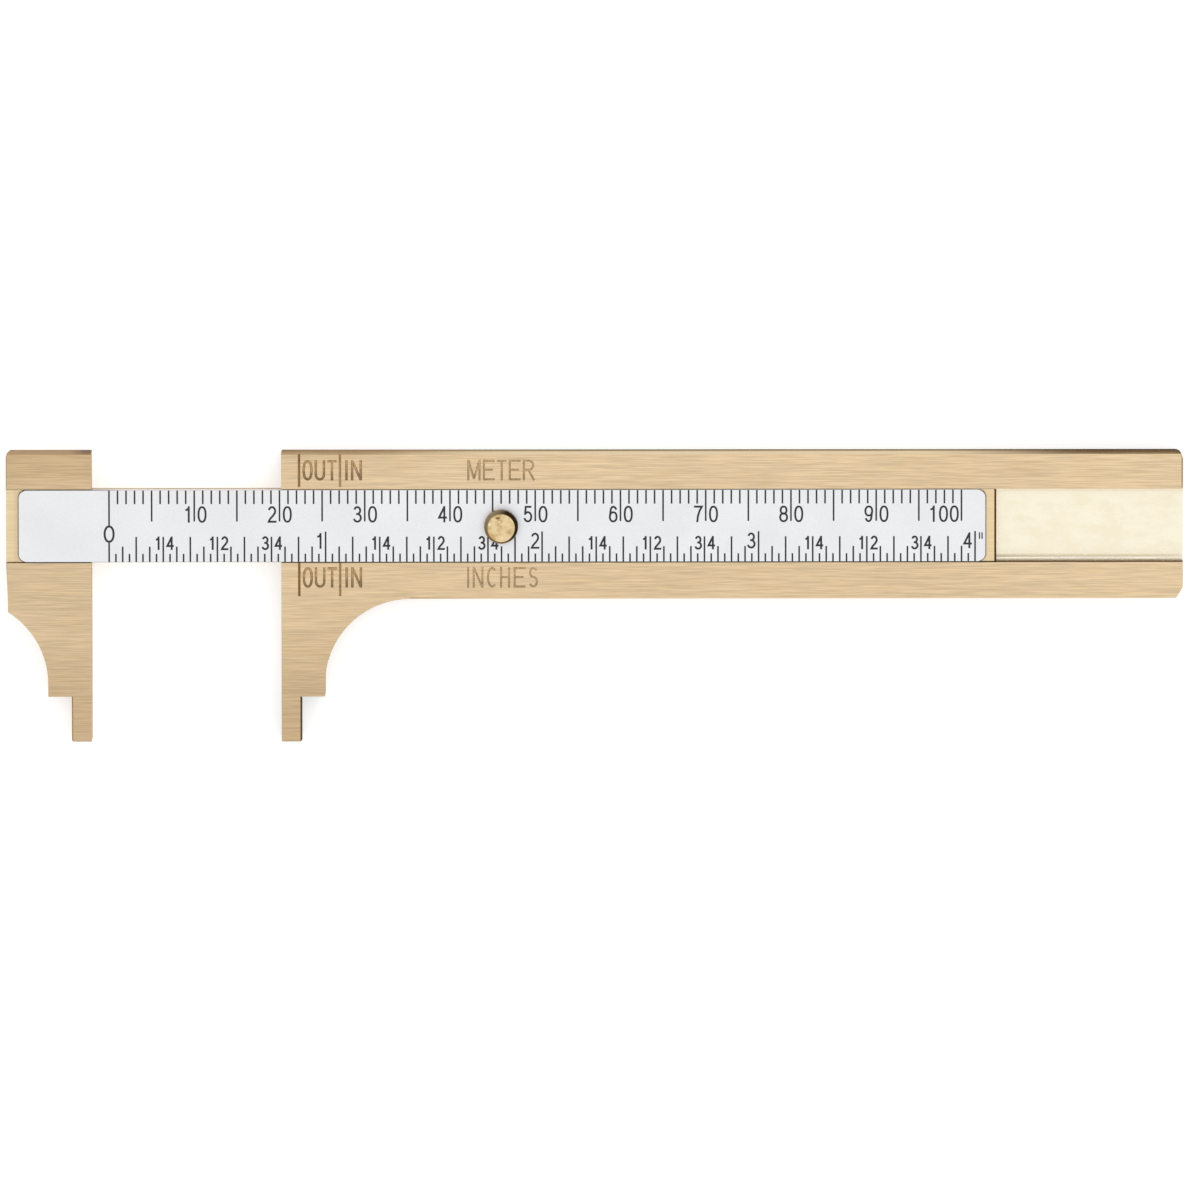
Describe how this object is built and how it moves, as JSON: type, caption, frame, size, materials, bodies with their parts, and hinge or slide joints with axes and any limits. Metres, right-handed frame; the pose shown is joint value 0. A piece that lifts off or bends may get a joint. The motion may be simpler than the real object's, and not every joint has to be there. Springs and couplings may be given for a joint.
{
  "type": "pocket caliper",
  "caption": "Brass pocket slide caliper with a fixed and a moving jaw, stepped nibs for inside measuring, and a sliding metric and inch scale with a thumb button.",
  "frame": {"origin": "on the flat back, in the plane of the fixed jaw's measuring face and on the middle line of the slide", "axes": "+X along the beam away from the moving jaw, +Y across the beam away from the jaws' tips, +Z out of the scale's face"},
  "size_m": [0.1381, 0.034, 0.0065],
  "materials": {
    "brushed_brass": "brushed",
    "slide_brass": "satin",
    "rivet_brass": "filed flush",
    "satin_plate": "satin anodised",
    "adhesive_film": "matte",
    "button_brass": "polished",
    "pin_steel": "ground",
    "spring_bronze": "rolled bronze"
  },
  "bodies": {
    "beam_body": {"beam": "brushed_brass", "stop_pin": "pin_steel", "drag_spring": "spring_bronze", "spring_rivet": "rivet_brass"},
    "slide": {"moving_jaw": "brushed_brass", "slide_bar": "slide_brass", "jaw_rivets": "rivet_brass", "scale_plate": "satin_plate", "plate_adhesive": "adhesive_film", "thumb_button": "button_brass"}
  },
  "joints": [
    {"name": "jaw_slide", "type": "slide", "parent": "beam_body", "child": "slide", "axis": [-1, 0, 0], "range_m": [-0.0223, 0.0793]}
  ]
}
